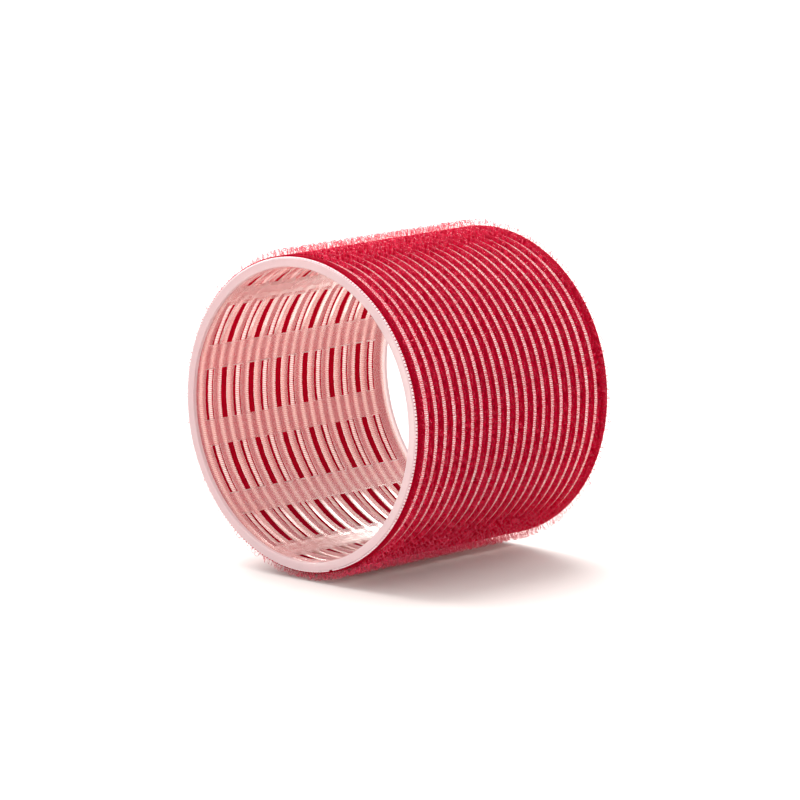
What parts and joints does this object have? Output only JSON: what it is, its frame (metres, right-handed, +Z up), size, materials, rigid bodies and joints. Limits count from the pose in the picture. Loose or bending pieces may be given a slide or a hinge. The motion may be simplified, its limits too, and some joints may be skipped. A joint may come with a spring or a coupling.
{
  "type": "self-grip hair roller",
  "caption": "Open slotted plastic tube wrapped in striped woven hook tape, for winding hair round; it grips the hair by itself.",
  "frame": {"origin": "middle of the roller's length, on the surface it lies on, straight below its axis", "axes": "+Y along the roller's axis, towards its back end; +Z up; the tape's seam is low on the +X side"},
  "size_m": [0.0746, 0.064, 0.0746],
  "materials": {
    "core_plastic": "translucent pale pink moulded plastic, satin",
    "woven_red": "tight red ribbed weave with pale warp stripes",
    "hook_nylon": "clear monofilament, glossy",
    "edge_thread": "pale pink looped weft thread"
  },
  "bodies": {
    "root": {"core_barrel": "core_plastic", "ground_tape": "woven_red", "selvedge_front": "edge_thread", "selvedge_back": "edge_thread", "hook_row_01": "hook_nylon", "hook_row_02": "hook_nylon", "hook_row_03": "hook_nylon", "hook_row_04": "hook_nylon", "hook_row_05": "hook_nylon", "hook_row_06": "hook_nylon", "hook_row_07": "hook_nylon", "hook_row_08": "hook_nylon", "hook_row_09": "hook_nylon", "hook_row_10": "hook_nylon", "hook_row_11": "hook_nylon", "hook_row_12": "hook_nylon", "hook_row_13": "hook_nylon", "hook_row_14": "hook_nylon", "hook_row_15": "hook_nylon", "hook_row_16": "hook_nylon", "hook_row_17": "hook_nylon", "hook_row_18": "hook_nylon", "hook_row_19": "hook_nylon", "hook_row_20": "hook_nylon", "hook_row_21": "hook_nylon"}
  },
  "joints": []
}
